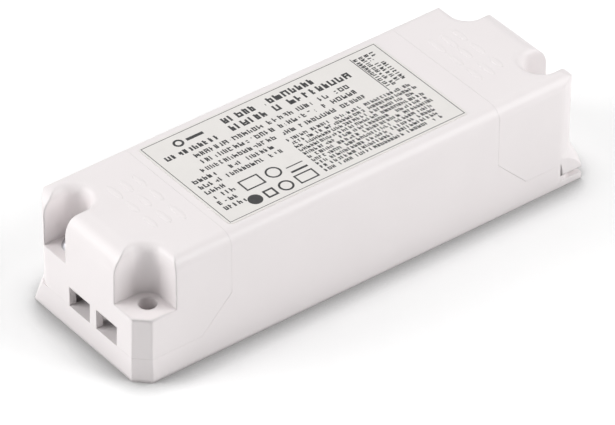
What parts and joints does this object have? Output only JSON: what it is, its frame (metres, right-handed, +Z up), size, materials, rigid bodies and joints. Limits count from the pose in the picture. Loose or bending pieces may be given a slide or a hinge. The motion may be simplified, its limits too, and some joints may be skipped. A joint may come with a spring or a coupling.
{
  "type": "led driver",
  "caption": "Slim white plastic LED driver: rounded sleeve housing with a screwed terminal cover on each end, diagonal mounting holes and cable entries.",
  "frame": {"origin": "centre of the base, on the mounting surface", "axes": "+X along the case towards the output end, +Z up from the mounting surface"},
  "size_m": [0.122, 0.04, 0.03],
  "materials": {
    "white_plastic": "satin moulded",
    "label_film": "matt printed film",
    "zinc_steel": "zinc plated",
    "board_laminate": "green solder mask",
    "terminal_plastic": "moulded",
    "black_plastic": "moulded epoxy",
    "fuse_pot": "moulded",
    "blue_coating": "dipped coating",
    "yellow_plastic": "moulded box",
    "ferrite": "sintered",
    "copper_wire": "enamelled copper wire",
    "can_sleeve": "shrink sleeve",
    "yellow_tape": "polyester tape",
    "sink_metal": "plain"
  },
  "bodies": {
    "root": {"main_housing": "white_plastic", "input_cover": "white_plastic", "output_cover": "white_plastic", "cover_screws": "zinc_steel", "rating_label": "label_film", "circuit_board": "board_laminate", "input_terminal": "terminal_plastic", "output_terminal": "terminal_plastic", "terminal_cages": "zinc_steel", "terminal_screws": "zinc_steel", "input_cable_clamp": "white_plastic", "output_cable_clamp": "white_plastic", "clamp_screws": "zinc_steel", "fuse": "fuse_pot", "varistor": "blue_coating", "interference_capacitor": "yellow_plastic", "choke_core": "ferrite", "choke_winding_line": "copper_wire", "choke_winding_neutral": "copper_wire", "bridge_rectifier": "black_plastic", "bulk_capacitor": "can_sleeve", "transformer_core": "ferrite", "transformer_bobbin": "black_plastic", "transformer_winding": "yellow_tape", "heat_sink": "sink_metal", "switching_transistor": "black_plastic", "controller_chip": "black_plastic", "optocoupler": "black_plastic", "safety_capacitor": "blue_coating", "output_diode": "black_plastic", "output_capacitor_1": "can_sleeve", "output_capacitor_2": "can_sleeve", "output_choke": "ferrite", "output_choke_winding": "copper_wire"}
  },
  "joints": []
}
